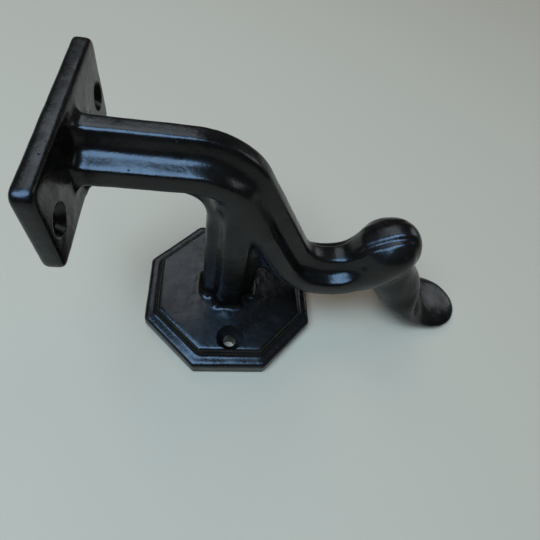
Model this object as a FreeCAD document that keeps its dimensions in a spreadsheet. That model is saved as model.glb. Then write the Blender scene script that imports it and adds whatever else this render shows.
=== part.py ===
import FreeCAD, Part
import math
import os
import Sketcher

# Cast handrail bracket: an octagonal wall rose, a short post, a four-ribbed arm that
# carries the rail plate, and a tail that curls up into a ball and drops a foot to the wall.
# Frame: the wall is the plane z = 0, +Z points away from it, the arm lies in the XZ plane
# with the rail plate towards -X, and the origin is the centre of the rose's back face.
# The bracket is one casting, so every feature below belongs to a single body.

os.makedirs("parts", exist_ok=True)
doc = FreeCAD.newDocument("handrail_bracket")
sheet = doc.addObject("Spreadsheet::Sheet", "Sizes")

SIZES = [
    ("rose_across_flats", 76.0),
    ("rose_rim_height", 7.3),
    ("rose_rim_rounding", 1.8),
    ("rose_step_across_flats", 66.0),
    ("rose_step_draft", 14.0),
    ("rose_thickness", 11.4),
    ("rose_top_rounding", 0.9),
    ("rose_screw_spacing", 52.8),
    ("screw_bore", 5.6),
    ("screw_head_angle", 90.0),
    ("rose_screw_head", 11.2),
    ("arm_reach", 12.0),
    ("arm_rib_radius", 4.7),
    ("arm_flute_radius", 5.6),
    ("arm_height", 85.6),
    ("arm_bend_start", -17.5),
    ("arm_bend_radius", 19.0),
    ("arm_bend_angle", 60.0),
    ("arm_drop", 39.5),
    ("curl_radius", 24.0),
    ("curl_reach", 12.6),
    ("neck_angle", 32.0),
    ("neck_reach", 12.2),
    ("ball_angle", 74.0),
    ("ball_radius", 13.9),
    ("post_centre", -1.4),
    ("post_reach", 11.6),
    ("post_rib_radius", 5.6),
    ("post_flute_radius", 6.0),
    ("post_root_rounding", 2.2),
    ("post_arm_rounding", 3.5),
    ("plate_length", 68.5),
    ("plate_width", 30.0),
    ("plate_thickness", 6.0),
    ("plate_corner", 4.0),
    ("plate_edge_rounding", 1.6),
    ("plate_inner_face", -50.0),
    ("plate_centre_height", 87.0),
    ("plate_screw_spacing", 52.8),
    ("plate_screw_head", 9.4),
    ("arm_root_rounding", 2.0),
    ("ankle_half_width", 10.8),
    ("ankle_half_thickness", 10.5),
    ("ankle_angle", 56.0),
    ("foot_pivot_reach", 100.0),
    ("foot_pivot_height", 39.0),
    ("foot_wall_gap", 0.3),
    ("foot_half_width", 15.0),
    ("foot_tail_rounding", 3.0),
    ("toe_length", 19.5),
    ("toe_half_thickness", 2.6),
]
for row, (alias, number) in enumerate(SIZES, start=1):
    sheet.set("A%d" % row, alias)
    sheet.set("B%d" % row, "%g" % number)
    sheet.setAlias("B%d" % row, alias)
doc.recompute()


def named(expression):
    """Turn <alias> marks in an expression into references to the sheet's cells."""
    return expression.replace("<", "Sizes.").replace(">", "")


def value(expression):
    """Number that an expression of the sheet's cells gives now."""
    return float(sheet.evalExpression(named(expression)))


body = doc.addObject("PartDesign::Body", "Casting")
body.Label = "bracket_casting"
planes = {feature.Role: feature for feature in body.Origin.OriginFeatures}
UP = FreeCAD.Vector(0, 0, 1)
TOLERANCE = 0.01


def new_sketch(name, plane, offset=None):
    """Sketch on one of the body's origin planes, moved by an expression where one is given."""
    sketch = body.newObject("Sketcher::SketchObject", name)
    sketch.AttachmentSupport = [(planes[plane], "")]
    sketch.MapMode = "FlatFace"
    if offset:
        sketch.setExpression("AttachmentOffset", named(offset))
    return sketch


def bind(sketch, label, expression, *constraint):
    """Add a dimension to a sketch, name it and tie it to the sheet."""
    number = value(expression)
    if constraint[0] == "Angle":
        number = math.radians(number)
    index = sketch.addConstraint(Sketcher.Constraint(*constraint, number))
    sketch.renameConstraint(index, label)
    sketch.setExpression("Constraints." + label, named(expression))


def section_offset(reach, height, angle):
    """Place a section across the XZ plane, its normal turned up from +X by an angle."""
    form = "placement(vector(0; %s; %s); rotation(vector(-1; 0; 0); %s))"
    return form % (height, reach, angle)


def octagon(sketch, across_flats):
    """Regular octagon about the origin, with two of its flats along X."""
    diameter = "(%s) / cos(22.5)" % across_flats
    radius = value(diameter) / 2
    turns = [math.radians(22.5 + 45 * step) for step in range(8)]
    points = [FreeCAD.Vector(radius * math.cos(turn), radius * math.sin(turn), 0) for turn in turns]
    for step in range(8):
        sketch.addGeometry(Part.LineSegment(points[step], points[(step + 1) % 8]), False)
    ring = sketch.addGeometry(Part.Circle(FreeCAD.Vector(), UP, radius), True)
    sketch.addConstraint(Sketcher.Constraint("Coincident", ring, 3, -1, 1))
    for step in range(8):
        sketch.addConstraint(Sketcher.Constraint("Coincident", step, 2, (step + 1) % 8, 1))
        sketch.addConstraint(Sketcher.Constraint("PointOnObject", step, 1, ring))
    for step in range(1, 8):
        sketch.addConstraint(Sketcher.Constraint("Equal", 0, step))
    sketch.addConstraint(Sketcher.Constraint("Horizontal", 1))
    bind(sketch, "corners", diameter, "Diameter", ring)


def quatrefoil(sketch, reach, rib, flute):
    """Four round ribs on the axes joined by hollow flutes, each arc tangent to the next."""
    rib_radius = value(rib)
    flute_radius = value(flute)
    rib_centre = value(reach) - rib_radius
    span = rib_radius + flute_radius
    hollow = (rib_centre + math.sqrt(2 * span ** 2 - rib_centre ** 2)) / 2
    lean = math.atan2(hollow, hollow - rib_centre)
    for step in range(4):
        turn = step * math.pi / 2
        centre = FreeCAD.Vector(rib_centre * math.cos(turn), rib_centre * math.sin(turn), 0)
        circle = Part.Circle(centre, UP, rib_radius)
        sketch.addGeometry(Part.ArcOfCircle(circle, turn - lean, turn + lean), False)
        diagonal = turn + math.pi / 4
        offset = hollow * math.sqrt(2)
        centre = FreeCAD.Vector(offset * math.cos(diagonal), offset * math.sin(diagonal), 0)
        circle = Part.Circle(centre, UP, flute_radius)
        ends = (turn + 3 * math.pi / 2 - lean, turn + math.pi + lean)
        sketch.addGeometry(Part.ArcOfCircle(circle, *ends), False)
    for step in range(4):
        this_rib, this_flute, next_rib = 2 * step, 2 * step + 1, (2 * step + 2) % 8
        sketch.addConstraint(Sketcher.Constraint("Tangent", this_rib, 2, this_flute, 2))
        sketch.addConstraint(Sketcher.Constraint("Tangent", this_flute, 1, next_rib, 1))
    for step in range(1, 4):
        sketch.addConstraint(Sketcher.Constraint("Equal", 0, 2 * step))
        sketch.addConstraint(Sketcher.Constraint("Equal", 1, 2 * step + 1))
    sketch.addConstraint(Sketcher.Constraint("PointOnObject", 0, 3, -1))
    sketch.addConstraint(Sketcher.Constraint("PointOnObject", 2, 3, -2))
    sketch.addConstraint(Sketcher.Constraint("Symmetric", 0, 3, 4, 3, -1, 1))
    sketch.addConstraint(Sketcher.Constraint("Symmetric", 2, 3, 6, 3, -1, 1))
    bind(sketch, "rib_radius", rib, "Radius", 0)
    bind(sketch, "flute_radius", flute, "Radius", 1)
    centre = "(%s) - (%s)" % (reach, rib)
    bind(sketch, "rib_centre_across", centre, "DistanceX", -1, 1, 0, 3)
    bind(sketch, "rib_centre_up", centre, "DistanceY", -1, 1, 2, 3)


def oval(sketch, half_width, half_thickness):
    """Ellipse about the sketch's origin, wide across the arm plane and thin along it."""
    wide, thin = value(half_width), value(half_thickness)
    ends = (FreeCAD.Vector(wide, 0, 0), FreeCAD.Vector(0, thin, 0), FreeCAD.Vector())
    sketch.addGeometry(Part.Ellipse(*ends), False)
    sketch.exposeInternalGeometry(0)
    sketch.addConstraint(Sketcher.Constraint("Coincident", 0, 3, -1, 1))
    sketch.addConstraint(Sketcher.Constraint("Horizontal", 1))
    bind(sketch, "width", "2 * (%s)" % half_width, "Distance", 1)
    bind(sketch, "thickness", "2 * (%s)" % half_thickness, "Distance", 2)


def pad(name, sketch, length, reverse=False):
    """Straight pad of a sketch, its length tied to the sheet."""
    feature = body.newObject("PartDesign::Pad", name)
    feature.Profile = sketch
    feature.setExpression("Length", named(length))
    feature.Reversed = reverse
    return feature


def loft(name, sections):
    """Smooth additive loft through section sketches, in the order given."""
    feature = body.newObject("PartDesign::AdditiveLoft", name)
    feature.Profile = sections[0]
    feature.Sections = sections[1:]
    feature.Ruled = False
    return feature


def edges_where(test):
    """Names of the body's edges for which a test of the edge holds."""
    doc.recompute()
    edges = enumerate(body.Shape.Edges, start=1)
    return ["Edge%d" % index for index, edge in edges if test(edge)]


def fillet(name, radius, edges):
    """Round the named edges of the body as it stands."""
    base = body.Tip
    feature = body.newObject("PartDesign::Fillet", name)
    feature.Base = (base, edges)
    feature.setExpression("Radius", named(radius))
    doc.recompute()
    return feature


def level_edge(height, reach):
    """Test for edges that lie level at one height, within a reach of the rose's axis."""
    def test(edge):
        box = edge.BoundBox
        level = abs(box.ZMin - height) < TOLERANCE and abs(box.ZMax - height) < TOLERANCE
        corner = max(abs(box.XMin), abs(box.XMax), abs(box.YMin), abs(box.YMax))
        return level and corner < reach
    return test


# Wall rose: a thick octagon, and on it a smaller raised octagon with sloping sides.
rim_sketch = new_sketch("RoseRim", "XY_Plane")
octagon(rim_sketch, "<rose_across_flats>")
pad("RosePlate", rim_sketch, "<rose_rim_height>")
doc.recompute()
rim_reach = value("<rose_across_flats> / 2") * 1.2
fillet("RoseRimRounding", "<rose_rim_rounding>",
       edges_where(level_edge(value("<rose_rim_height>"), rim_reach)))

step_sketch = new_sketch("RoseStep", "XY_Plane",
                         "placement(vector(0; 0; <rose_rim_height>); rotation(vector(0; 0; 1); 0))")
octagon(step_sketch, "<rose_step_across_flats>")
step = pad("RoseRaisedFace", step_sketch, "<rose_thickness> - <rose_rim_height>")
step.setExpression("TaperAngle", named("-<rose_step_draft>"))
doc.recompute()
fillet("RoseTopRounding", "<rose_top_rounding>",
       edges_where(level_edge(value("<rose_thickness>"), rim_reach)))

# Post: the short stem between the rose and the underside of the arm.
post_sketch = new_sketch("PostSection", "XY_Plane",
                         "placement(vector(<post_centre>; 0; <rose_thickness> / 2); "
                         "rotation(vector(0; 0; 1); 0))")
quatrefoil(post_sketch, "<post_reach>", "<post_rib_radius>", "<post_flute_radius>")
pad("Post", post_sketch, "<arm_height> - <rose_thickness> / 2")

# The post's top is cut back to the arm's centre line, so none of it shows above the bend.
shoulder = new_sketch("PostShoulder", "XZ_Plane")
BEND_CORNER = "<arm_bend_start> + <arm_bend_radius> * tan(<arm_bend_angle> / 2)"
corner = FreeCAD.Vector(value(BEND_CORNER), value("<arm_height>"), 0)
fall = math.radians(value("<arm_bend_angle>"))
slope = FreeCAD.Vector(math.cos(fall), -math.sin(fall), 0) * value("<arm_drop>")
beyond = corner + FreeCAD.Vector(slope.x, 0, 0)
for start, end in ((corner, corner + slope), (corner + slope, beyond), (beyond, corner)):
    shoulder.addGeometry(Part.LineSegment(start, end), False)
for line in range(3):
    shoulder.addConstraint(Sketcher.Constraint("Coincident", line, 2, (line + 1) % 3, 1))
shoulder.addConstraint(Sketcher.Constraint("Vertical", 1))
shoulder.addConstraint(Sketcher.Constraint("Horizontal", 2))
bind(shoulder, "corner_reach", "-(%s)" % BEND_CORNER, "DistanceX", 0, 1, -1, 1)
bind(shoulder, "corner_height", "<arm_height>", "DistanceY", -1, 1, 0, 1)
bind(shoulder, "slope_length", "<arm_drop>", "Distance", 0)
bind(shoulder, "slope_width", "<arm_drop> * cos(<arm_bend_angle>)", "Distance", 2)
doc.recompute()
trim = body.newObject("PartDesign::Pocket", "PostTrim")
trim.Profile = shoulder
trim.Type = "ThroughAll"
trim.Midplane = True
doc.recompute()
post_reach = value("<post_reach> - <post_centre>") + 0.1
fillet("PostRootRounding", "<post_root_rounding>",
       edges_where(level_edge(value("<rose_thickness>"), post_reach)))

# Arm: one section carried along a line, a bend and the straight drop to the curl.
spine = new_sketch("ArmSpine", "XZ_Plane")
START = "<plate_inner_face> - <plate_thickness> / 2"
height = value("<arm_height>")
bend_start = value("<arm_bend_start>")
bend_radius = value("<arm_bend_radius>")
bend_angle = math.radians(value("<arm_bend_angle>"))
bend_centre = FreeCAD.Vector(bend_start, height - bend_radius, 0)
outward = FreeCAD.Vector(math.sin(bend_angle), math.cos(bend_angle), 0)
downward = FreeCAD.Vector(math.cos(bend_angle), -math.sin(bend_angle), 0)
drop_start = bend_centre + outward * bend_radius
drop_end = drop_start + downward * value("<arm_drop>")
spine.addGeometry(Part.LineSegment(FreeCAD.Vector(value(START), height, 0),
                                   FreeCAD.Vector(bend_start, height, 0)), False)
spine.addGeometry(Part.ArcOfCircle(Part.Circle(bend_centre, UP, bend_radius),
                                   math.pi / 2 - bend_angle, math.pi / 2), False)
spine.addGeometry(Part.LineSegment(drop_start, drop_end), False)
spine.addConstraint(Sketcher.Constraint("Horizontal", 0))
spine.addConstraint(Sketcher.Constraint("Tangent", 0, 2, 1, 2))
spine.addConstraint(Sketcher.Constraint("Tangent", 1, 1, 2, 1))
bind(spine, "start", "-(%s)" % START, "DistanceX", 0, 1, -1, 1)
bind(spine, "height", "<arm_height>", "DistanceY", -1, 1, 0, 1)
bind(spine, "bend_start", "-<arm_bend_start>", "DistanceX", 0, 2, -1, 1)
bind(spine, "bend_radius", "<arm_bend_radius>", "Radius", 1)
bind(spine, "bend_angle", "<arm_bend_angle>", "Angle", 1)
bind(spine, "drop", "<arm_drop>", "Distance", 2)

arm_sketch = new_sketch("ArmSection", "YZ_Plane", section_offset(START, "<arm_height>", "0"))
quatrefoil(arm_sketch, "<arm_reach>", "<arm_rib_radius>", "<arm_flute_radius>")
doc.recompute()
arm = body.newObject("PartDesign::AdditivePipe", "Arm")
arm.Profile = arm_sketch
arm.Spine = (spine, [])
doc.recompute()

# Tail and ball: sections turn up round the curl, the tail swells into the ball as its
# flutes fade, and the ball closes as a sphere does.
CURL_X = ("<arm_bend_start> + (<arm_bend_radius> + <curl_radius>) * sin(<arm_bend_angle>)"
          " + <arm_drop> * cos(<arm_bend_angle>)")
CURL_Z = ("<arm_height> - <arm_bend_radius> + (<arm_bend_radius> + <curl_radius>)"
          " * cos(<arm_bend_angle>) - <arm_drop> * sin(<arm_bend_angle>)")


def curl_offset(angle):
    """Place a section on the curl, at an angle past the curl's lowest point."""
    reach = "%s + <curl_radius> * sin(%s)" % (CURL_X, angle)
    drop = "%s - <curl_radius> * cos(%s)" % (CURL_Z, angle)
    return section_offset(reach, drop, angle)


tail_sections = []


def tail_section(angle, reach, rib, flute):
    """Add the next ribbed section of the tail's loft."""
    section = new_sketch("TailSection%d" % (len(tail_sections) + 1), "YZ_Plane", curl_offset(angle))
    quatrefoil(section, reach, rib, flute)
    tail_sections.append(section)


tail_section("-<arm_bend_angle>", "<arm_reach>", "<arm_rib_radius>", "<arm_flute_radius>")
TAIL = [(0.12, 0.05), (0.35, 0.6), (0.6, 1.0), (0.85, 0.9)]
for along, growth in TAIL:
    angle = "(-<arm_bend_angle> + %g * (<arm_bend_angle> + <neck_angle>))" % along
    reach = "(<arm_reach> + %g * (<curl_reach> - <arm_reach>))" % growth
    tail_section(angle, reach, "<arm_rib_radius>", "<arm_flute_radius>")
NECK = [(0.0, 0.0, 0.42), (0.3, 0.3, 0.5), (0.62, 0.75, 0.6)]
for along, growth, rib_share in NECK:
    angle = "(<neck_angle> + %g * (<ball_angle> - <neck_angle>))" % along
    reach = "(<neck_reach> + %g * (<ball_radius> - <neck_reach>))" % growth
    tail_section(angle, reach, "%g * %s" % (rib_share, reach), "%g * %s" % (rib_share, reach))
ARC_DEGREES = "180 / (pi * <curl_radius>)"
CLOSING = [(0, 0.7), (26, 0.78), (46, 0.82), (62, 0.84), (75, 0.84)]
for turn, rib_share in CLOSING:
    angle = "(<ball_angle> + %s * <ball_radius> * sin(%g))" % (ARC_DEGREES, turn)
    reach = "(<ball_radius> * cos(%g))" % turn
    tail_section(angle, reach, "%g * %s" % (rib_share, reach), "0.9 * %s" % reach)
doc.recompute()
loft("TailAndBall", tail_sections)
doc.recompute()


def upright_cylinder(face):
    """True for the round faces that stand along Z, which are the post's ribs and flutes."""
    surface = face.Surface
    return surface.TypeId == "Part::GeomCylinder" and abs(surface.Axis.z) > 0.999


def post_meets_arm(edge):
    """Test for the edges where the post runs into the arm."""
    faces = body.Shape.ancestorsOfType(edge, Part.Face)
    above = edge.BoundBox.ZMin > value("<rose_thickness>") + value("<post_root_rounding>") + 1
    return above and sum(upright_cylinder(face) for face in faces) == 1


fillet("PostArmRounding", "<post_arm_rounding>", edges_where(post_meets_arm))


# Foot: the ankle drops out of the curl, oval sections fan round a pivot above the toe
# until they stand upright on the wall, and the toe runs out thin and rounded.


def fan_offset(turn, half_thickness):
    """Place a foot section whose sole touches the fan's outer radius, turned down."""
    radius = "(<foot_pivot_height> - <foot_wall_gap> - %s)" % half_thickness
    reach = "<foot_pivot_reach> - %s * sin(%s)" % (radius, turn)
    rise = "<foot_pivot_height> - %s * cos(%s)" % (radius, turn)
    return section_offset(reach, rise, "-(%s)" % turn)


foot_sections = []


def foot_section(offset, half_width, half_thickness):
    """Add the next oval of the foot's loft."""
    section = new_sketch("FootSection%d" % (len(foot_sections) + 1), "YZ_Plane", offset)
    oval(section, half_width, half_thickness)
    foot_sections.append(section)


for back, share in [(20, 0.8), (9, 0.94)]:
    centre = "(<foot_pivot_height> - <foot_wall_gap> - <ankle_half_thickness>)"
    reach = "<foot_pivot_reach> - %s * sin(<ankle_angle>) - %g * cos(<ankle_angle>)" % (centre, back)
    rise = "<foot_pivot_height> - %s * cos(<ankle_angle>) + %g * sin(<ankle_angle>)" % (centre, back)
    foot_section(section_offset(reach, rise, "-<ankle_angle>"),
                 "%g * <ankle_half_width>" % share, "%g * <ankle_half_thickness>" % share)
FAN = [(1.0, 0.1, 1.0), (0.7, 0.75, 0.92), (0.4, 1.08, 0.55), (0.0, 1.08, 0.2)]
SPREAD = "(<ankle_half_width> + %g * (<foot_half_width> - <ankle_half_width>))"
THINNING = "(<toe_half_thickness> + %g * (<ankle_half_thickness> - <toe_half_thickness>))"
for turn_share, spread, thickness_share in FAN:
    thickness = THINNING % thickness_share
    foot_section(fan_offset("(%g * <ankle_angle>)" % turn_share, thickness),
                 SPREAD % spread, thickness)
TOE = [(0.42, 0.95, 1.2), (0.76, 0.72, 1.0), (0.93, 0.42, 0.82), (1.0, 0.2, 0.6)]
for along, width_share, thickness_share in TOE:
    thickness = "(%g * <toe_half_thickness>)" % thickness_share
    rise = "%s + <foot_wall_gap>" % thickness
    offset = section_offset("<foot_pivot_reach> + %g * <toe_length>" % along, rise, "0")
    foot_section(offset, "%g * <foot_half_width>" % width_share, thickness)
doc.recompute()
tail = body.Shape.copy()
foot = loft("Foot", foot_sections)
doc.recompute()


def foot_meets_tail(edge):
    """Test for the edges where the foot's surface runs into the tail's."""
    middle = Part.Vertex(edge.valueAt((edge.FirstParameter + edge.LastParameter) / 2))
    surfaces = (tail.Shells[0], foot.AddSubShape.Shells[0])
    return all(middle.distToShape(surface)[0] < TOLERANCE for surface in surfaces)


fillet("FootTailRounding", "<foot_tail_rounding>", edges_where(foot_meets_tail))

# Rail plate: a flat plate across the end of the arm, with rounded corners and edges.
plate_sketch = new_sketch("RailPlateOutline", "YZ_Plane",
                          section_offset("<plate_inner_face>", "<plate_centre_height>", "0"))


def rounded_rectangle(sketch, length, width, corner):
    """Rectangle about the origin with four equal corner arcs."""
    half_long, half_wide, radius = value(length) / 2, value(width) / 2, value(corner)
    straight_long, straight_wide = half_long - radius, half_wide - radius
    for step in range(4):
        turn = step * math.pi / 2
        outward = FreeCAD.Vector(math.cos(turn), math.sin(turn), 0)
        along = FreeCAD.Vector(-math.sin(turn), math.cos(turn), 0)
        middle = outward * (half_wide if step % 2 else half_long)
        reach = along * (straight_long if step % 2 else straight_wide)
        sketch.addGeometry(Part.LineSegment(middle - reach, middle + reach), False)
        centre = middle + reach - outward * radius
        circle = Part.Circle(centre, UP, radius)
        sketch.addGeometry(Part.ArcOfCircle(circle, turn, turn + math.pi / 2), False)
    for step in range(4):
        line, arc, following = 2 * step, 2 * step + 1, (2 * step + 2) % 8
        sketch.addConstraint(Sketcher.Constraint("Tangent", line, 2, arc, 1))
        sketch.addConstraint(Sketcher.Constraint("Tangent", arc, 2, following, 1))
    for arc in (3, 5, 7):
        sketch.addConstraint(Sketcher.Constraint("Equal", 1, arc))
    for upright, level in ((0, 2), (4, 6)):
        sketch.addConstraint(Sketcher.Constraint("Vertical", upright))
        sketch.addConstraint(Sketcher.Constraint("Horizontal", level))
    sketch.addConstraint(Sketcher.Constraint("Symmetric", 0, 1, 4, 1, -1, 1))
    bind(sketch, "corner", corner, "Radius", 1)
    bind(sketch, "half_length", "(%s) / 2" % length, "DistanceX", -1, 1, 0, 1)
    bind(sketch, "straight_side", "(%s) - 2 * (%s)" % (width, corner), "DistanceY", 0, 1, 0, 2)


rounded_rectangle(plate_sketch, "<plate_length>", "<plate_width>", "<plate_corner>")
pad("RailPlate", plate_sketch, "<plate_thickness>", reverse=True)
doc.recompute()


def upright_edge(position, inner, outer):
    """Test for edges in one plane across X, between two distances from the arm's centre line."""
    height = value("<arm_height>")

    def test(edge):
        box = edge.BoundBox
        upright = abs(box.XMin - position) < TOLERANCE and abs(box.XMax - position) < TOLERANCE
        ends = [math.hypot(vertex.Y, vertex.Z - height) for vertex in edge.Vertexes]
        return upright and inner < max(ends) < outer
    return test


arm_edge = value("<arm_reach>") + 0.5
inner_face = value("<plate_inner_face>")
outer_face = value("<plate_inner_face> - <plate_thickness>")
far = value("<plate_length>")
fillet("PlateInnerEdge", "<plate_edge_rounding>", edges_where(upright_edge(inner_face, arm_edge, far)))
fillet("PlateOuterEdge", "<plate_edge_rounding>", edges_where(upright_edge(outer_face, 0, far)))
fillet("ArmRootRounding", "<arm_root_rounding>", edges_where(upright_edge(inner_face, 0, arm_edge)))


def screw_holes(name, plane, offset, spacing, head):
    """Pair of countersunk screw holes across the arm plane."""
    sketch = new_sketch(name + "Centres", plane, offset)
    half = value(spacing) / 2
    up = plane == "XY_Plane"
    for side in (-1, 1):
        spot = FreeCAD.Vector(0, side * half, 0) if up else FreeCAD.Vector(side * half, 0, 0)
        sketch.addGeometry(Part.Circle(spot, UP, value("<screw_bore>") / 2), False)
    sketch.addConstraint(Sketcher.Constraint("Equal", 0, 1))
    sketch.addConstraint(Sketcher.Constraint("Symmetric", 0, 3, 1, 3, -1, 1))
    sketch.addConstraint(Sketcher.Constraint("PointOnObject", 1, 3, -2 if up else -1))
    bind(sketch, "bore", "<screw_bore>", "Diameter", 0)
    bind(sketch, "offset", "(%s) / 2" % spacing, "DistanceY" if up else "DistanceX", -1, 1, 1, 3)
    doc.recompute()
    hole = body.newObject("PartDesign::Hole", name)
    hole.Profile = sketch
    hole.Threaded = False
    hole.DepthType = "ThroughAll"
    hole.setExpression("Diameter", named("<screw_bore>"))
    hole.HoleCutType = "Countersink"
    hole.HoleCutCustomValues = True
    hole.setExpression("HoleCutDiameter", named(head))
    hole.setExpression("HoleCutCountersinkAngle", named("<screw_head_angle>"))
    doc.recompute()
    return hole


screw_holes("RoseScrewHoles", "XY_Plane",
            "placement(vector(0; 0; <rose_thickness>); rotation(vector(0; 0; 1); 0))",
            "<rose_screw_spacing>", "<rose_screw_head>")
screw_holes("PlateScrewHoles", "YZ_Plane",
            section_offset("<plate_inner_face>", "<arm_height>", "0"),
            "<plate_screw_spacing>", "<plate_screw_head>")

doc.recompute()
for item in doc.Objects:
    if {"Invalid", "Error"} & set(item.State):
        raise RuntimeError("feature %s did not build" % item.Name)
if body.Shape.isNull() or not body.Shape.isValid() or len(body.Shape.Solids) != 1:
    raise RuntimeError("the casting is not one sound solid")
body.Shape.exportStep(os.path.join("parts", body.Label + ".step"))
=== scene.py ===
# %% [markdown]
# # A cast iron handrail bracket
# The bracket is one casting. An octagonal rose screws to the wall, a short post stands on it,
# and a ribbed arm runs from the rail's plate, over the post, and down into a curl that ends
# in a ball. A foot leaves the curl under the ball and reaches the wall. In this lesson each
# form is made by the way that suits it, then all are melted into one skin and painted black.

# %% Load the solid model
import math

import bmesh
import bpy
import numpy as np
from mathutils import Matrix, Vector, noise


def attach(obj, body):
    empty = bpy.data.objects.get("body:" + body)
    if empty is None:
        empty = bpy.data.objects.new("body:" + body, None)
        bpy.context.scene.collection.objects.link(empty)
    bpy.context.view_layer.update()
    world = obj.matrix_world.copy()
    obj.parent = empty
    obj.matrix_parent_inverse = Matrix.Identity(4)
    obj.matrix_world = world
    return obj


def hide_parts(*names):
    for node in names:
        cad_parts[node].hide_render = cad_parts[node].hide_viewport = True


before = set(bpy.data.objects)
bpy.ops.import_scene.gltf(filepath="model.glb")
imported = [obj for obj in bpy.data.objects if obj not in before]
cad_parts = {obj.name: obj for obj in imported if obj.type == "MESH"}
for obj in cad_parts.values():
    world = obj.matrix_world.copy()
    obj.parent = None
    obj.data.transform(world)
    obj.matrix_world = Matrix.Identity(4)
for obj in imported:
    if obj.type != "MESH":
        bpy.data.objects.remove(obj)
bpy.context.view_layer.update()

MM = 0.001

# %% [markdown]
# ## The sizes of the forms
# The sizes are named once here, in millimetres. They follow the solid model, so that the
# visible skin lies on the solid, but the skin's ribs are crisper than the solid's round lobes,
# and its ball and the plate's corners are a little smaller. +Z points away from the wall, the
# arm lies in the XZ plane, the rail's plate is at the -X end and the near side is -Y. A section
# has three sizes: how far a rib reaches from the middle, half a rib's width, and how far its
# flat land is rounded towards a circle (0 to 1). The arm's ribs are the crispest, and they
# grow rounder where the arm drops.

# %% Sizes
ARM = {"height": 85.6, "start": -53.0, "bend_start": -17.5, "bend_radius": 19.0,
       "bend_angle": 60.0, "drop": 39.5, "curl_radius": 24.0}
POINT_SECTION = (0.01, 0.005, 0.0)  # so small that it closes a bar's end
ARM_SECTION = (11.4, 3.4, 0.0)
DROP_SECTION = (11.4, 3.9, 0.45)
POST_SECTION = (11.6, 4.8, 0.35)
POST_X = -1.4
ROOT_FILLET = 2.6
BALL_RADIUS, BALL_ANGLE = 13.6, 74.0
ROSE_TOP, RIM_TOP = 11.4, 7.3
PLATE = {"x": (-56.0, -50.0), "z": 87.0, "length": 68.5, "width": 30.0, "corner": 3.4, "edge": 1.3}
HOLE = {"bore": 5.6, "rose_mouth": 11.2, "plate_mouth": 9.4, "offset": 26.4}
fall = math.radians(ARM["bend_angle"])
bend_centre = np.array([ARM["bend_start"], ARM["height"] - ARM["bend_radius"]])
drop_start = bend_centre + ARM["bend_radius"] * np.array([math.sin(fall), math.cos(fall)])
drop_end = drop_start + ARM["drop"] * np.array([math.cos(fall), -math.sin(fall)])
curl_centre = drop_end + ARM["curl_radius"] * np.array([math.sin(fall), math.cos(fall)])
print("curl centre, mm:", curl_centre.round(2))

# %% [markdown]
# ## The line that the arm follows
# A ribbed bar is a rule: one section, carried along a line. So the line comes first, as rows
# that each hold a place, a slope and the section's three sizes. Where the arm meets the plate
# every row is offset outwards a little more, which is what a fillet does.

# %% Rows along the arm
def fillet_growth(distance, radius):
    """How far a fillet stands out, at a distance from the face that it runs into."""
    if distance >= radius:
        return 0.0
    return radius - math.sqrt(radius ** 2 - (radius - max(distance, 0.0)) ** 2)


def smooth_between(keys, at):
    """A smooth curve through (place, values) keys, with its slopes taken from the neighbours."""
    places = np.array([key[0] for key in keys], float)
    values = np.array([key[1] for key in keys], float)
    slopes = np.gradient(values, places, axis=0)
    span = int(np.clip(np.searchsorted(places, at) - 1, 0, len(places) - 2))
    width = places[span + 1] - places[span]
    t = (at - places[span]) / width
    return ((1 + 2 * t) * (1 - t) ** 2 * values[span] + t * (1 - t) ** 2 * width * slopes[span]
            + t * t * (3 - 2 * t) * values[span + 1] + t * t * (t - 1) * width * slopes[span + 1])


rows = []


def add_row(place, slope, section):
    rows.append((place[0], place[1], math.radians(slope), *section))


add_row((ARM["start"], ARM["height"]), 0, POINT_SECTION)
face = PLATE["x"][1]
for x in np.concatenate([[ARM["start"], face - 0.2], np.linspace(face, face + 2.8, 12),
                         np.linspace(face + 3.5, ARM["bend_start"], 40)]):
    grow = fillet_growth(x - face, ROOT_FILLET)
    reach, width, roundness = ARM_SECTION
    add_row((x, ARM["height"]), 0, (reach + grow, width + grow, roundness))
for turn in np.linspace(2, ARM["bend_angle"], 36):
    lean = math.radians(turn)
    place = bend_centre + ARM["bend_radius"] * np.array([math.sin(lean), math.cos(lean)])
    share = (turn / ARM["bend_angle"]) ** 1.5
    add_row(place, -turn, tuple(a + share * (b - a) for a, b in zip(ARM_SECTION, DROP_SECTION)))
for share in np.linspace(0.03, 1, 40):
    add_row(drop_start + share * (drop_end - drop_start), -ARM["bend_angle"], DROP_SECTION)
print("rows down to the curl:", len(rows))

# %% [markdown]
# ## The tail swells into a ball
# Past the curl's lowest point the ribs grow wide and round and the hollows fade, until the
# section is nearly a circle. The keys say how, as (angle on the curl, section), and a smooth
# curve runs through them. The last rows close as a sphere does: each one's reach is the cosine
# of its turn.

# %% Rows round the curl and the ball
neck = [(-60, DROP_SECTION), (-49, (11.5, 3.9, 0.44)), (-28, (11.8, 3.9, 0.40)),
        (-5, (12.0, 4.1, 0.38)), (18, (12.0, 4.4, 0.45)), (32, (12.0, 5.0, 0.6)),
        (44.6, (12.6, 6.0, 0.85)), (58, (13.3, 7.2, 1.0)), (BALL_ANGLE, (BALL_RADIUS, 7.8, 1.0))]


def on_curl(angle):
    lean = math.radians(angle)
    return curl_centre + ARM["curl_radius"] * np.array([math.sin(lean), -math.cos(lean)])


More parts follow.
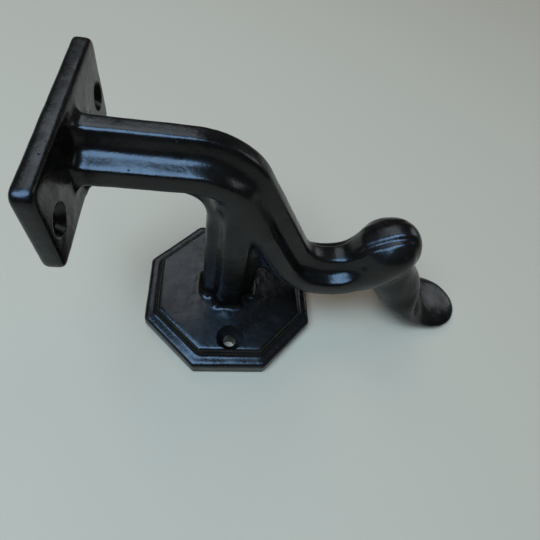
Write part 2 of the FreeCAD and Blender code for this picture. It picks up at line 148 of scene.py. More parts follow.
for angle in np.linspace(-58.5, BALL_ANGLE, 110):
    add_row(on_curl(angle), angle, smooth_between(neck, angle))
for turn in np.linspace(3, 89.5, 34):
    angle = BALL_ANGLE + math.degrees(BALL_RADIUS / ARM["curl_radius"]) * math.sin(math.radians(turn))
    reach = BALL_RADIUS * math.cos(math.radians(turn))
    share = float(np.interp(turn, [0, 30, 50, 90], [0.57, 0.575, 0.60, 0.66]))
    add_row(on_curl(angle), angle, (reach, share * reach, 1.0))
arm_rows = np.array(rows)
print("rows in all:", len(arm_rows))

# %% [markdown]
# ## A Geometry Nodes tree that carries a section along the rows
# The tree lays a grid with one line of points for each row, reads the row's numbers, and
# moves each point out to the ribbed section. The section is two crossed bars: each bar ends
# in a land and has sides that lean a little, as a pattern must to leave the sand. A smooth
# minimum rounds the bar's edges and a smooth maximum fills the corners between the bars.
# A tree is right for this because the sizes stay inputs that can be changed by hand. A small
# class comes first, which keeps the long lists of nodes and links short.

# %% Helpers for building trees
class Tree:
    """A Geometry Nodes tree, with short ways to add inputs and arithmetic."""

    def __init__(self, name, inputs):
        self.group = bpy.data.node_groups.new(name, "GeometryNodeTree")
        face = self.group.interface
        face.new_socket(name="Geometry", in_out="INPUT", socket_type="NodeSocketGeometry")
        for label, start, kind in inputs:
            socket = face.new_socket(name=label, in_out="INPUT", socket_type="NodeSocket" + kind)
            if start is not None:
                socket.default_value = start
        face.new_socket(name="Geometry", in_out="OUTPUT", socket_type="NodeSocketGeometry")
        self.inputs = self.add("NodeGroupInput").outputs

    def add(self, kind, settings=None, **links):
        node = self.group.nodes.new(kind)
        for name, setting in (settings or {}).items():
            setattr(node, name, setting)
        for name, source in links.items():
            self.link(source, node.inputs[name.replace("_", " ")])
        return node

    def link(self, source, socket):
        if isinstance(source, bpy.types.NodeSocket):
            self.group.links.new(source, socket)
        else:
            socket.default_value = source

    def math(self, operation, *terms):
        node = self.group.nodes.new("ShaderNodeMath")
        node.operation = operation
        for socket, term in zip(node.inputs, terms):
            self.link(term, socket)
        return node.outputs[0]

    def vector(self, x, y, z):
        return self.add("ShaderNodeCombineXYZ", X=x, Y=y, Z=z).outputs[0]

    def finish(self, geometry, material):
        whole = self.add("GeometryNodeRealizeInstances", Geometry=geometry)
        painted = self.add("GeometryNodeSetMaterial", Geometry=whole.outputs[0])
        painted.inputs["Material"].default_value = material
        end = self.add("NodeGroupOutput")
        self.group.links.new(painted.outputs[0], end.inputs[0])
        return self.group


print("tree helper ready")


# %% [markdown]
# ## Small tools for meshes
# These tools serve every later step: keep what a modifier makes as a plain mesh, make a piece
# from points and faces, close it, and skin a stack of rings.

# %% Helpers for meshes
def keep_result(piece, modifier):
    """Keep what a modifier makes as the piece's own mesh."""
    evaluated = piece.evaluated_get(bpy.context.evaluated_depsgraph_get())
    mesh = bpy.data.meshes.new_from_object(evaluated)
    piece.modifiers.remove(modifier)
    piece.data = mesh


def apply_modifier(piece, kind, **settings):
    modifier = piece.modifiers.new(kind, kind)
    for name, setting in settings.items():
        setattr(modifier, name, setting)
    keep_result(piece, modifier)


def apply_tree(piece, tree, values):
    modifier = piece.modifiers.new(tree.name, "NODES")
    modifier.node_group = tree
    for item in tree.interface.items_tree:
        if item.in_out == "INPUT" and item.name in values:
            modifier[item.identifier] = values[item.name]
    keep_result(piece, modifier)


def link_piece(name, mesh):
    piece = bpy.data.objects.new(name, mesh)
    bpy.context.scene.collection.objects.link(piece)
    return piece


def new_piece(name, vertices, faces=()):
    mesh = bpy.data.meshes.new(name)
    mesh.from_pydata([tuple(vertex) for vertex in vertices], [], list(faces))
    mesh.update()
    return link_piece(name, mesh)


def close_up(piece):
    """Merge doubles, cap open ends and turn every face outwards."""
    edit = bmesh.new()
    edit.from_mesh(piece.data)
    bmesh.ops.remove_doubles(edit, verts=edit.verts, dist=2e-6)
    open_edges = [edge for edge in edit.edges if edge.is_boundary]
    if open_edges:
        bmesh.ops.holes_fill(edit, edges=open_edges, sides=0)
    bmesh.ops.recalc_face_normals(edit, faces=edit.faces)
    edit.to_mesh(piece.data)
    edit.free()
    return piece


def stacked(name, rings):
    """A closed piece over rings of equally many points, given in millimetres."""
    around = len(rings[0])
    points = [[size * MM for size in point] for ring in rings for point in ring]
    faces = []
    for row in range(len(rings) - 1):
        for step in range(around):
            a, b = row * around + step, row * around + (step + 1) % around
            faces.append((a, b, b + around, a + around))
    return close_up(new_piece(name, points, faces))


def turns_round(count):
    return [2 * math.pi * step / count for step in range(count)]


paint = bpy.data.materials.new("satin_black_paint")
paint.use_nodes = True
print("mesh helpers ready")

# %% [markdown]
# ## The ribbed section as a tree
# Each grid point knows its row and its turn round the section. One bar's outline, as a
# distance from the middle, is the nearer of two lines: its land across the end and its
# leaning side. The cross is the farther of the two bars. `Side Lean` is the draft that frees
# the pattern, `Edge Softness` rounds the ribs, and `Corner Softness` fills between them.

# %% Build the ribbed section's tree
def ribbed_bar_tree(material):
    tree = Tree("ribbed_bar", [("Points Around", 144, "Int"), ("Side Lean", 0.30, "Float"),
                               ("Edge Softness", 2.2 * MM, "Float"), ("Corner Softness", 1.8 * MM, "Float")])
    path, around, side_lean, edge_soft, corner_soft = tree.inputs[:5]
    m = tree.math
    count = tree.add("GeometryNodeAttributeDomainSize", Geometry=path).outputs["Point Count"]
    grid = tree.add("GeometryNodeMeshGrid", Vertices_X=count, Vertices_Y=around)
    index = tree.add("GeometryNodeInputIndex").outputs[0]
    row = m("FLOOR", m("DIVIDE", m("ADD", index, 0.5), around))
    column = m("SUBTRACT", index, m("MULTIPLY", row, around))
    turn = m("MULTIPLY", m("DIVIDE", column, m("SUBTRACT", around, 1.0)), 2 * math.pi)

    def from_row(name):
        value = tree.add("GeometryNodeInputNamedAttribute", Name=name).outputs["Attribute"]
        sample = tree.add("GeometryNodeSampleIndex", Geometry=path, Index=row)
        tree.group.links.new(value, sample.inputs["Value"])
        return sample.outputs[0]

    reach, width, roundness, slope = (from_row(name) for name in ("reach", "width", "roundness", "slope"))
    along = m("ABSOLUTE", m("COSINE", turn))
    across = m("ABSOLUTE", m("SINE", turn))
    root = m("ADD", width, m("MULTIPLY", reach, side_lean))
    softness = m("MINIMUM", edge_soft, m("MULTIPLY", reach, 0.3))

    def bar(cosine, sine):
        flat = m("DIVIDE", reach, m("MAXIMUM", cosine, 0.1))
        land = m("ADD", flat, m("MULTIPLY", m("SUBTRACT", reach, flat), roundness))
        side = m("DIVIDE", root, m("ADD", sine, m("MULTIPLY", cosine, side_lean)))
        return m("SMOOTH_MIN", land, side, softness)

    radius = m("SMOOTH_MAX", bar(along, across), bar(across, along), m("MINIMUM", corner_soft, softness))
    out = m("MULTIPLY", radius, m("SINE", turn))
    offset = tree.vector(m("MULTIPLY", m("MULTIPLY", m("SINE", slope), -1.0), out),
                         m("MULTIPLY", radius, m("COSINE", turn)), m("MULTIPLY", m("COSINE", slope), out))
    spot = tree.add("GeometryNodeSampleIndex", {"data_type": "FLOAT_VECTOR"}, Geometry=path, Index=row)
    tree.group.links.new(tree.add("GeometryNodeInputPosition").outputs[0], spot.inputs["Value"])
    placed = tree.add("GeometryNodeSetPosition", Geometry=grid.outputs["Mesh"],
                      Position=spot.outputs[0], Offset=offset)
    joined = tree.add("GeometryNodeMergeByDistance", Geometry=placed.outputs[0], Distance=2e-6)
    return tree.finish(joined.outputs[0], material)


ribbed_bar = ribbed_bar_tree(paint)


def ribbed_piece(name, table, around=144):
    """A bar from rows of x, z, slope, reach, width and roundness, in millimetres and radians."""
    table = np.array(table, float)
    piece = new_piece(name, [(x * MM, 0, z * MM) for x, z in table[:, :2]])
    for column, label in ((2, "slope"), (3, "reach"), (4, "width"), (5, "roundness")):
        layer = piece.data.attributes.new(label, "FLOAT", "POINT")
        values = table[:, column] * (MM if label in ("reach", "width") else 1)
        layer.data.foreach_set("value", values.astype(np.float32))
    apply_tree(piece, ribbed_bar, {"Points Around": around})
    return close_up(piece)


arm = ribbed_piece("arm_form", arm_rows)
print("arm form:", len(arm.data.vertices), "points")

# %% [markdown]
# ## The post
# The post is the same kind of ribbed bar, standing up: its rows climb instead of running
# along. Its foot flares into the rose, where the mould had a rounded corner and the paint
# has gathered. Inside the arm it shrinks away, so that no edge of it comes out on top.

# %% Post rows
POST_FOOT = 6.0  # sunk in the rose
POST_TOP = ((69, 0.97), (73, 0.9), (77, 0.78), (80, 0.6), (82, 0.3), (82.5, 0.001))
UPRIGHT = math.pi / 2
post_rows = [(POST_X, POST_FOOT, UPRIGHT, *POINT_SECTION)]
for z in np.concatenate([[POST_FOOT], np.linspace(ROSE_TOP, ROSE_TOP + 2.8, 14), np.linspace(15, 66, 60)]):
    reach, width, roundness = POST_SECTION
    grow = fillet_growth(z - ROSE_TOP, ROOT_FILLET)
    post_rows.append((POST_X, z, UPRIGHT, reach + grow, width + grow, roundness))
for z, shrink in POST_TOP:
    post_rows.append((POST_X, z, UPRIGHT, *(shrink * size for size in POST_SECTION)))
post = ribbed_piece("post_form", post_rows)
print("post form:", len(post.data.vertices), "points")

# %% [markdown]
# ## A web in the corner under the arm
# Iron cracks where two bars meet in a sharp corner, so the pattern maker runs a fillet into
# it. Here it is a small block with a hollow round side, set in the corner between the arm's
# lower rib and the post's rib. On each side an oval lump of wax softens the place where the
# arm's side rib passes over the post's. They sink into both bars, and the remesh joins them.

# %% Corner web and lumps
WEB_RADIUS, WEB_HALF_WIDTH, WEB_SINK = 11.0, 4.4, 5.0
LUMP = {"place": (-4.0, 7.2, 76.5), "reach": (8.0, 3.7, 8.5)}


def corner_web(name, corner, radius, half_width):
    """A block that fills a corner, with a hollow quarter-round side."""
    x, z = corner
    outline = [(x - radius + radius * math.sin(turn), z - radius + radius * math.cos(turn))
               for turn in np.linspace(0, math.pi / 2, 16)]
    outline += [(x + WEB_SINK, z - radius), (x + WEB_SINK, z + WEB_SINK), (x - radius, z + WEB_SINK)]
    return stacked(name, [[(px, side * half_width, pz) for px, pz in outline] for side in (-1, 1)])


def wax_lump(name, place, reach, around=32, rows=16):
    """A soft oval lump, as wax pressed into a corner."""
    stack = []
    for row in range(1, rows):
        fall_by = math.pi * row / rows
        ways = [(math.sin(fall_by) * math.cos(turn), math.sin(fall_by) * math.sin(turn), math.cos(fall_by))
                for turn in turns_round(around)]
        stack.append([[c + r * w for c, r, w in zip(place, reach, way)] for way in ways])
    return stacked(name, stack)


web_corner = (POST_X - POST_SECTION[0], ARM["height"] - ARM_SECTION[0])
web = corner_web("web", web_corner, WEB_RADIUS, WEB_HALF_WIDTH)
lumps = []
for side, name in ((-1, "lump_near"), (1, "lump_far")):
    x, y, z = LUMP["place"]
    lumps.append(wax_lump(name, (x, side * y, z), LUMP["reach"]))
print("web and lumps:", 1 + len(lumps))

# %% [markdown]
# ## The foot
# The foot is a loft: ovals that fan round a point above the toe. Under the ball they are
# almost round, and they spread and thin until the last one is a lip on the wall. A loft in
# plain mesh code is enough here, because only the ovals' sizes change from row to row.

# %% Foot rows
PIVOT = (100.0, 39.0)  # the point that the ovals fan round
GAP = 0.35  # between the foot's underside and the wall
ANKLE_SLOPE = math.radians(-56)


def fan_row(turn, half_width, half_thickness):
    lean = math.radians(turn)
    radius = PIVOT[1] - GAP - half_thickness
    return (PIVOT[0] - radius * math.sin(lean), PIVOT[1] - radius * math.cos(lean),
            -lean, half_width, half_thickness)


def toe_row(x, half_width, half_thickness):
    return (x, GAP + half_thickness, 0.0, half_width, half_thickness)


foot_keys = [(62.0, 45.0, ANKLE_SLOPE, 7.5, 7.5), (65.4, 39.8, ANKLE_SLOPE, 9.6, 9.2),
             (71.6, 30.7, ANKLE_SLOPE, 11.2, 10.7), fan_row(56, 12.3, 11.2),
             fan_row(39.2, 14.7, 10.3), fan_row(22.4, 15.6, 7.2), fan_row(8, 15.5, 5.0),
             toe_row(103, 15.2, 3.7), toe_row(108.2, 14.2, 3.1), toe_row(112.5, 12.2, 2.8),
             toe_row(115.6, 9.6, 2.5), toe_row(117.8, 6.6, 2.1), toe_row(119.0, 3.6, 1.5),
             toe_row(119.4, 0.02, 0.02)]


def oval_loft(name, keys, steps=10, around=72):
    """A closed loft through ovals of x, z, slope, half width and half thickness."""
    keyed = list(enumerate(keys))
    rings = []
    for at in np.linspace(0, len(keys) - 1, steps * len(keys)):
        x, z, slope, wide, thin = smooth_between(keyed, at)
        ring = []
        for turn in turns_round(around):
            up = thin * math.sin(turn)
            ring.append((x - math.sin(slope) * up, wide * math.cos(turn), z + math.cos(slope) * up))
        rings.append(ring)
    return stacked(name, rings)


foot = oval_loft("foot_form", foot_keys)
print("foot form:", len(foot.data.vertices), "points")

# %% [markdown]
# ## The rose and the rail plate
# Both are flat castings with softened edges, so each is a stack of outlines. The rose's
# outline is an octagon with small corner arcs: it goes up the rim, in over the ledge, up the
# sloping step and over the slightly crowned top. The plate's outline is a rounded rectangle.

# %% Rose and plate
def rounded_outline(corners, radius, steps=6):
    """Points round a convex outline, with an arc of a radius at each corner."""
    corners = [np.array(corner, float) for corner in corners]
    points = []
    for index, corner in enumerate(corners):
        back = corners[index - 1] - corner
        ahead = corners[(index + 1) % len(corners)] - corner
        back, ahead = back / np.linalg.norm(back), ahead / np.linalg.norm(ahead)
        half = math.acos(float(np.clip(back @ ahead, -1, 1))) / 2
        middle = (back + ahead) / np.linalg.norm(back + ahead)
        centre = corner + middle * radius / math.sin(half)
        first = centre - corner - back * (radius / math.tan(half))
        start = math.atan2(*(corner + back * radius / math.tan(half) - centre)[::-1])
        sweep = math.pi - 2 * half
        for step in range(steps + 1):
            turn = start + sweep * step / steps
            points.append(centre + radius * np.array([math.cos(turn), math.sin(turn)]))
    return points


def octagon_ring(apothem, height, corner):
    radius = apothem / math.cos(math.pi / 8)
    turns = [math.pi / 8 + step * math.pi / 4 for step in range(8)]
    outline = rounded_outline([(radius * math.cos(t), radius * math.sin(t)) for t in turns], corner)
    return [(x, y, height) for x, y in outline]


# Each row of the profile is half the width across the flats, a height and a corner radius.
ROSE_HALF, RIM_ROUND, RIM_CORNER = 38.0, 2.0, 1.6
rim_side = RIM_TOP - RIM_ROUND
rose_profile = [(ROSE_HALF, 0.0, RIM_CORNER), (ROSE_HALF, rim_side, RIM_CORNER)]
for turn in np.radians(range(15, 91, 15)):
    rose_profile.append((ROSE_HALF - RIM_ROUND + RIM_ROUND * math.cos(turn),
                         rim_side + RIM_ROUND * math.sin(turn), RIM_CORNER))
rose_profile += [(33.9, RIM_TOP, 1.2), (33.3, 7.45, 1.2), (33.0, 7.9, 1.2), (32.3, 10.6, 1.2),
                 (32.1, 11.05, 1.2), (31.7, 11.35, 1.2), (31.0, 11.45, 1.2), (27.0, 11.5, 1.2),
                 (20.0, 11.55, 1.2), (10.0, 11.55, 1.2), (3.0, 11.55, 0.5)]
rose = stacked("rose_form", [octagon_ring(*ring) for ring in rose_profile])


def plate_ring(inset, x):
    long, wide = PLATE["length"] / 2 - inset, PLATE["width"] / 2 - inset
    outline = rounded_outline([(-long, -wide), (long, -wide), (long, wide), (-long, wide)],
                              PLATE["corner"] - 0.9 * inset, 8)
    return [(x, y, PLATE["z"] + z) for y, z in outline]


outer, inner = PLATE["x"]
plate_rings = []
for face, sign, turns in ((outer, 1, range(0, 91, 15)), (inner, -1, range(90, -1, -15))):
    for lean in np.radians(turns):
        plate_rings.append(plate_ring(PLATE["edge"] * (1 - math.sin(lean)),
                                      face + sign * PLATE["edge"] * (1 - math.cos(lean))))
plate = stacked("plate_form", plate_rings)
print("rose and plate forms:", len(rose.data.vertices), len(plate.data.vertices), "points")

# %% [markdown]
# ## One skin over all the forms
# Iron is poured once, so no seam may show between the forms. A voxel remesh wraps everything
# in one closed skin. The voxel is as small as the limit on triangles allows.

# %% Remesh
VOXEL = 0.69 * MM


def join_pieces(name, pieces):
    mesh = bpy.data.meshes.new(name)
    edit = bmesh.new()
    for piece in pieces:
        edit.from_mesh(piece.data)
    edit.to_mesh(mesh)
    edit.free()
    for piece in pieces:
        bpy.data.objects.remove(piece)
    return link_piece(name, mesh)


casting = join_pieces("bracket_skin", [arm, post, web, *lumps, foot, rose, plate])
apply_modifier(casting, "REMESH", mode="VOXEL", voxel_size=VOXEL, use_smooth_shade=True)
print("skin faces:", len(casting.data.polygons))

# %% [markdown]
# ## Soft inside corners
# A mould and thick paint leave soft inside corners where two forms meet. Each blend is a
# round zone: a centre, a reach and the width of its soft edge. Points inside it are pulled
# towards the middle of their neighbours, round after round, and more rounds give a larger
# fillet. The zones lie under the ball, under the arm and behind the post, then in the web, on
# each side of the crossing, and on the foot's instep. Last, a few weak rounds over everything
# take off the steps of the voxels.

# %% Blend the corners
BLENDS = [([((71.0, 0.0, 34.5), 15.5, 5.0), ((-9.0, 0.0, 71.0), 14.5, 5.0),
            ((9.0, 0.0, 36.0), 13.0, 5.0)], 22),
          ([((-13.0, 0.0, 72.0), 13.5, 5.0)], 40),
          ([((2.0, -9.5, 73.0), 13.5, 7.0)], 45),
          ([((2.0, 9.5, 73.0), 13.5, 7.0)], 45),
          ([((95.0, -4.0, 8.0), 14.0, 6.0)], 25)]


def points_of(piece):
    flat = np.zeros(len(piece.data.vertices) * 3, np.float32)
    piece.data.vertices.foreach_get("co", flat)
    return flat.reshape(-1, 3).astype(float)


def move_points(piece, points):
    piece.data.vertices.foreach_set("co", points.astype(np.float32).ravel())
    piece.data.update()


def blend_weight(points, centre, reach, softness):
    gap = np.linalg.norm((points - np.array(centre) * MM), axis=1) / MM
    return np.clip((reach - gap) / softness, 0, 1)


def relax(piece, weight, rounds):
    """Pull each point towards the middle of its neighbours, by a weight of its own."""
    points = points_of(piece)
    edges = np.zeros(len(piece.data.edges) * 2, np.int64)
    piece.data.edges.foreach_get("vertices", edges)
    ends = edges.reshape(-1, 2)
    count = np.bincount(ends.ravel(), minlength=len(points))[:, None]
    for _ in range(rounds):
        total = np.zeros_like(points)
        for axis in range(3):
            total[:, axis] = (np.bincount(ends[:, 0], points[ends[:, 1], axis], len(points))
                              + np.bincount(ends[:, 1], points[ends[:, 0], axis], len(points)))
        points += (weight[:, None] * 0.6) * (total / count - points)
    move_points(piece, points)


start = points_of(casting)
for places, rounds in BLENDS:
    relax(casting, np.maximum.reduce([blend_weight(start, *place) for place in places]), rounds)
relax(casting, np.full(len(start), 0.5), 6)
print("blends:", len(BLENDS))

# %% [markdown]
# ## The cast skin
# Sand leaves a casting slightly uneven, and grinding and thick paint soften it again. This
# tree moves every point inwards along its normal by two soft noises: long low waves from the
# fettling, and a short ripple from the sand under the paint. The flat back stays flat,
# because the movement fades out near the wall plane.

# %% Waves in the skin
def cast_skin_tree(material):
    tree = Tree("cast_skin", [("Wave Size", 9 * MM, "Float"), ("Wave Depth", 0.32 * MM, "Float"),
                              ("Ripple Size", 2.6 * MM, "Float"), ("Ripple Depth", 0.05 * MM, "Float"),
                              ("Flat Height", 1.5 * MM, "Float")])
    shape, wave_size, wave_depth, ripple_size, ripple_depth, flat = tree.inputs[:6]
    m = tree.math
    spot = tree.add("GeometryNodeInputPosition").outputs[0]

    def soft_noise(size, depth, detail):
        node = tree.add("ShaderNodeTexNoise", Vector=spot, Scale=m("DIVIDE", 1.0, size), Detail=detail)
        return m("MULTIPLY", m("SUBTRACT", node.outputs[0], 1.0), depth)

    height = tree.add("ShaderNodeSeparateXYZ", Vector=spot).outputs[2]
    fade = m("MINIMUM", m("MAXIMUM", m("DIVIDE", height, flat), 0.0), 1.0)
    depth = m("MULTIPLY", m("ADD", soft_noise(wave_size, wave_depth, 1.0),
                            soft_noise(ripple_size, ripple_depth, 2.0)), fade)
    normal = tree.add("GeometryNodeInputNormal").outputs[0]
    shift = tree.add("ShaderNodeVectorMath", {"operation": "SCALE"}, Vector=normal, Scale=depth)
    moved = tree.add("GeometryNodeSetPosition", Geometry=shape, Offset=shift.outputs[0])
    return tree.finish(moved.outputs[0], material)


apply_tree(casting, cast_skin_tree(paint), {})
waved = points_of(casting)
waved[:, 2] = np.maximum(waved[:, 2], 0.0)
move_points(casting, waved)
print("height of the skin, mm:", round(waved[:, 2].max() / MM, 1))

# %% [markdown]
# ## Paint that has gathered round the post
# Thick paint runs down the post and sets in a ring of soft beads where the post meets the
# rose. Each point near that corner is pushed out along its normal by a noise, most in the
# corner itself and nothing a few millimetres away.

# %% Paint ring
RING = {"height": ROSE_TOP + 0.6, "half_height": 2.2, "reach": 17.5, "fade": 4.0}


def paint_ring(piece, bead=3.2, height=0.6, fullness=0.25):
    points = points_of(piece)
    normals = np.zeros(len(points) * 3, np.float32)
    piece.data.vertex_normals.foreach_get("vector", normals)
    normals = normals.reshape(-1, 3)
    away = np.hypot(points[:, 0] / MM - POST_X, points[:, 1] / MM)
    level = np.clip(1 - np.abs(points[:, 2] / MM - RING["height"]) / RING["half_height"], 0, 1)
    near = level * np.clip((RING["reach"] - away) / RING["fade"], 0, 1)
    for index in np.nonzero(near > 0)[0]:
        swell = noise.noise(Vector(points[index] / (bead * MM))) + fullness
        points[index] += normals[index] * near[index] * max(swell, 0.0) * height * MM
    move_points(piece, points)
    return int((near > 0).sum())


print("points in the paint ring:", paint_ring(casting))

# %% [markdown]
# ## The crease over the ball
# The top rib doesn't melt into the ball: it runs over it as a raised band, with a narrow
# crease along each edge that fades out past the crown, deeper on the near side than on the
# far. The ball's points are moved along the line from its centre: in along the crease, and
# out a little on both sides of it, which gives the rolled edge that catches the light.

# %% Ball crease
def hump(distance, middle, width):
    return np.exp(-((distance - middle) / width) ** 2)


def crease_ball(piece, band=4.6, depth=1.05, far_share=0.2):
    points = points_of(piece)
    centre_x, centre_z = on_curl(BALL_ANGLE)
    spoke = points / MM - np.array([centre_x, 0.0, centre_z])
    length = np.linalg.norm(spoke, axis=1)
    turn = np.degrees(np.arctan2(spoke[:, 0], spoke[:, 2]))
    on_ball = np.clip((3.5 - np.abs(length - BALL_RADIUS)) / 1.5, 0, 1)
    run = np.clip((turn + 95) / 35, 0, 1) * np.clip((34 - turn) / 34, 0, 1)
    aside = np.abs(spoke[:, 1]) - band
    shift = 0.32 * hump(aside, -1.7, 1.2) + 0.28 * hump(aside, 1.9, 1.3) - depth * hump(aside, 0, 0.95)
    shift *= on_ball * run * np.where(spoke[:, 1] > 0, far_share, 1.0)
    points += spoke / np.maximum(length, 1e-6)[:, None] * shift[:, None] * MM
    move_points(piece, points)
    relax(piece, on_ball * run * 0.8, 5)
    return int((np.abs(shift) > 0.02).sum())


print("points in the creases:", crease_ball(casting))

# %% [markdown]
# ## Pits where the arm leaves the plate
# Gas and loose sand collect in the corner between a thick plate and a bar, and leave small
# pits. A fixed seed scatters a few of them on the plate round the arm's root. Each one is a
# dent with a soft rim, in the mesh itself, because a pit this size shows against the light.

# %% Sand pits
def sand_pits(piece, count=12, seed=7):
    points = points_of(piece)
    chance = np.random.default_rng(seed)
    face = PLATE["x"][1]
    on_face = np.abs(points[:, 0] / MM - face) < 1.6
    turns = chance.uniform(0, 2 * math.pi, count)
    distances = chance.uniform(12.4, 17.2, count)
    sizes = chance.uniform(0.45, 0.85, count)
    for turn, away, size in zip(turns, distances, sizes):
        pit = np.array([face, away * math.cos(turn), PLATE["z"] + away * math.sin(turn)])
        gap = np.linalg.norm(points / MM - pit, axis=1)
        points[:, 0] -= on_face * 0.6 * size * hump(gap, 0, size) * MM
    move_points(piece, points)
    return count


print("pits:", sand_pits(casting))

# %% [markdown]
# ## Countersunk screw holes
# The holes are cut last, so that no smoothing touches them and they stay crisp. The cutter is
# a turned shape: a bore, a cone for the screw's head, and a small flare at the mouth where the
# paint rounds the edge.

# %% Cut the holes
MOUTH_SINK = 0.1  # how far a hole's mouth lies under the face


def hole_cutter(name, mouth, depth):
    """A turned cutter, mouth at z = 0 and bore down to -depth."""
    bore, wide = HOLE["bore"] / 2, mouth / 2
    cone = wide - bore
    profile = [(wide + 1.6, 2.0), (wide + 0.62, 0.35), (wide + 0.3, 0.02), (wide + 0.06, -0.16),
               (wide - 0.12, -0.4), (bore + 0.25, -cone - 0.1), (bore + 0.04, -cone - 0.35),
               (bore, -cone - 0.7), (bore, -depth)]
    return stacked(name, [[(radius * math.cos(turn), radius * math.sin(turn), z) for turn in turns_round(72)]
                          for radius, z in profile])


def cut(piece, cutter):
    apply_modifier(piece, "BOOLEAN", operation="DIFFERENCE", object=cutter, solver="EXACT")
    bpy.data.objects.remove(cutter)


def place_at(x, y, z):
    return Matrix.Translation((x * MM, y * MM, z * MM))


for side in (-1, 1):
    y = side * HOLE["offset"]
    rose_hole = hole_cutter("rose_hole", HOLE["rose_mouth"], ROSE_TOP + 3)
    rose_hole.data.transform(place_at(0, y, ROSE_TOP - MOUTH_SINK))
    plate_hole = hole_cutter("plate_hole", HOLE["plate_mouth"], 9)
    plate_hole.data.transform(place_at(PLATE["x"][1] - MOUTH_SINK, y, ARM["height"])
                              @ Matrix.Rotation(math.radians(90), 4, "Y"))
    cut(casting, rose_hole)
    cut(casting, plate_hole)
casting.data.materials.clear()
casting.data.materials.append(paint)
casting.data.shade_smooth()
casting.data.set_sharp_from_angle(angle=math.radians(42))
print("faces after drilling:", len(casting.data.polygons))

# %% [markdown]
# ## Satin black paint on cast iron
# The paint is nearly black and a little warm, with a satin gloss that changes slowly over
# the surface. Three bumps lie under it: the sand's grain, softened by the paint; a fine
# orange peel from the brush or dip; and a few pinholes where gas left the iron. Pinholes come
# from a Voronoi pattern that is only kept where a second noise allows it, so they gather in
# patches instead of covering everything.

# %% Paint material
def paint_material(material):
    nodes, links = material.node_tree.nodes, material.node_tree.links
    nodes.clear()
    output = nodes.new("ShaderNodeOutputMaterial")
    shader = nodes.new("ShaderNodeBsdfPrincipled")
    links.new(shader.outputs[0], output.inputs["Surface"])
    place = nodes.new("ShaderNodeTexCoord").outputs["Object"]

    def cloud(size, detail=2.0, roughness=0.5):
        node = nodes.new("ShaderNodeTexNoise")
        node.inputs["Scale"].default_value = 1 / (size * MM)
        node.inputs["Detail"].default_value = detail
        node.inputs["Roughness"].default_value = roughness
        links.new(place, node.inputs["Vector"])
        return node.outputs["Fac"]

    def ramp(source, low, high, first, last):
        node = nodes.new("ShaderNodeMapRange")
        node.interpolation_type = "SMOOTHSTEP"
        for name, number in (("From Min", low), ("From Max", high), ("To Min", first), ("To Max", last)):
            node.inputs[name].default_value = number
        links.new(source, node.inputs["Value"])
        return node.outputs[0]

    def times(a, b):
        node = nodes.new("ShaderNodeMath")
        node.operation = "MULTIPLY"
        for socket, term in zip(node.inputs, (a, b)):
            if isinstance(term, bpy.types.NodeSocket):
                links.new(term, socket)
            else:
                socket.default_value = term
        return node.outputs[0]

    def bump(height, distance, strength, under=None):
        node = nodes.new("ShaderNodeBump")
        node.inputs["Distance"].default_value = distance * MM
        node.inputs["Strength"].default_value = strength
        links.new(height, node.inputs["Height"])
        if under is not None:
            links.new(under, node.inputs["Normal"])
        return node.outputs[0]

    tint = nodes.new("ShaderNodeMix")
    tint.data_type = "RGBA"
    tint.inputs["A"].default_value = (0.0030, 0.0020, 0.0014, 1)
    tint.inputs["B"].default_value = (0.0068, 0.0048, 0.0033, 1)
    links.new(ramp(cloud(14, 3), 0.35, 0.7, 0, 1), tint.inputs["Factor"])
    links.new(tint.outputs["Result"], shader.inputs["Base Color"])
    links.new(ramp(cloud(6, 4, 0.6), 0.3, 0.75, 0.22, 0.36), shader.inputs["Roughness"])

    pits = nodes.new("ShaderNodeTexVoronoi")
    pits.inputs["Scale"].default_value = 1 / (3.4 * MM)
    links.new(place, pits.inputs["Vector"])
    pinholes = times(ramp(pits.outputs["Distance"], 0.03, 0.12, -1, 0), ramp(cloud(16, 1), 0.56, 0.64, 0, 1))
    normal = bump(cloud(3.0, 2), 0.4, 0.28)
    normal = bump(cloud(0.9, 3, 0.55), 0.11, 0.45, normal)
    normal = bump(pinholes, 0.35, 0.9, normal)
    links.new(normal, shader.inputs["Normal"])
    shader.inputs["Specular IOR Level"].default_value = 0.3
    shader.inputs["IOR"].default_value = 1.5
    shader.inputs["Coat Weight"].default_value = 0.08
    shader.inputs["Coat Roughness"].default_value = 0.16
    shader.inputs["Coat IOR"].default_value = 1.5


paint_material(paint)
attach(casting, "root")
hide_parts("bracket_casting")
print("painted")

# %% [markdown]
# ## Floor, light and camera
# The bracket stands on its rose on a plain pale floor. Black paint shows little but what it
# mirrors, so each light is placed for a shine: a broad bluish window high on the left draws
# the long one in the hollows, a weak light beyond the bracket lifts the rose's top and the
# arm's top rib, and a small one low on the right falls on the toe. The world is bright only
# as a backdrop, and dim in what the paint mirrors, so that the black stays black. The floor's
# colour is warm, because the window's light is cold. The camera looks down at the bracket
# from its near side, close by, with a roll.

# %% Stage
def pale_floor(half=12):
    floor = new_piece("floor", [(-half, -half, 0), (half, -half, 0), (half, half, 0), (-half, half, 0)],
                      [(0, 1, 2, 3)])
    material = bpy.data.materials.new("pale_floor")
    material.use_nodes = True
    shader = material.node_tree.nodes["Principled BSDF"]
    shader.inputs["Base Color"].default_value = (0.51, 0.35, 0.21, 1)
    shader.inputs["Roughness"].default_value = 0.75
    floor.data.materials.append(material)
    return floor


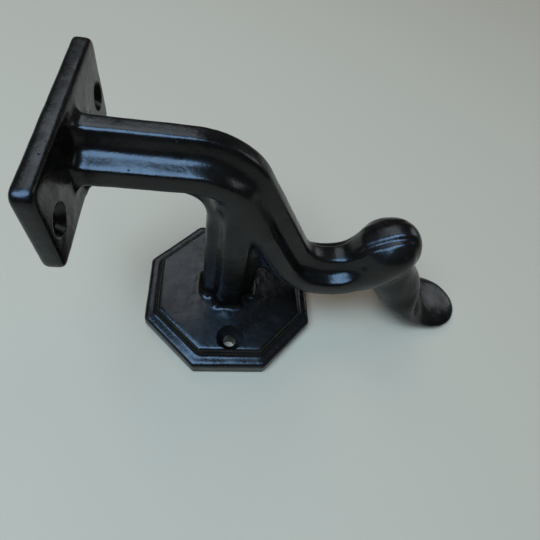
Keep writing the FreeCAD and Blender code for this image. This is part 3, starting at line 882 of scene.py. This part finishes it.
def soft_light(name, direction, distance, size, power, colour):
    data = bpy.data.lights.new(name, "AREA")
    data.shape = "RECTANGLE"
    data.size, data.size_y = size
    data.energy = power
    data.color = colour
    light = bpy.data.objects.new(name, data)
    target = Vector((0.02, 0, 0.05))
    light.location = target + Vector(direction).normalized() * distance
    light.rotation_euler = (light.location - target).to_track_quat("Z", "Y").to_euler()
    bpy.context.scene.collection.objects.link(light)
    return light


pale_floor()
soft_light("window_light", (-0.31, -0.24, 0.92), 1.3, (0.85, 1.15), 40, (0.35, 0.61, 1.0))
soft_light("far_light", (-0.20, 0.58, 0.79), 1.4, (0.7, 0.7), 3.8, (0.80, 0.90, 1.0))
soft_light("side_light", (0.80, 0.44, 0.41), 1.5, (0.55, 0.65), 2.0, (0.88, 0.94, 1.0))
world = bpy.data.worlds.new("pale_room")
world.use_nodes = True
room = world.node_tree
seen = room.nodes.new("ShaderNodeLightPath").outputs["Is Camera Ray"]
backdrop = room.nodes.new("ShaderNodeMath")
backdrop.operation = "MULTIPLY_ADD"
backdrop.inputs[1].default_value = 0.45
backdrop.inputs[2].default_value = 0.05
room.links.new(seen, backdrop.inputs[0])
room.links.new(backdrop.outputs[0], room.nodes["Background"].inputs["Strength"])
room.nodes["Background"].inputs["Color"].default_value = (1.0, 0.95, 0.87, 1)
bpy.context.scene.world = world

# %% Camera
CAMERA = {"place": (-12.6, -95.3, 173.1), "turn": 16.90, "dip": 55.86, "roll": 17.07, "lens": 26.52}
turn, dip, roll = (math.radians(CAMERA[name]) for name in ("turn", "dip", "roll"))
ahead = Vector((math.sin(turn) * math.cos(dip), math.cos(turn) * math.cos(dip), -math.sin(dip)))
level = Vector((math.cos(turn), -math.sin(turn), 0))
upward = level.cross(ahead)
right = math.cos(roll) * level + math.sin(roll) * upward
upward = -math.sin(roll) * level + math.cos(roll) * upward
camera_data = bpy.data.cameras.new("camera")
camera_data.lens = CAMERA["lens"]
camera_data.sensor_width = 36
camera_data.clip_start = 0.005
camera = bpy.data.objects.new("camera", camera_data)
rotation = Matrix((right, upward, -ahead)).transposed().to_4x4()
camera.matrix_world = Matrix.Translation([c * MM for c in CAMERA["place"]]) @ rotation
bpy.context.scene.collection.objects.link(camera)
bpy.context.scene.camera = camera
bpy.context.scene.view_settings.view_transform = "Standard"
print("camera, mm:", CAMERA["place"])
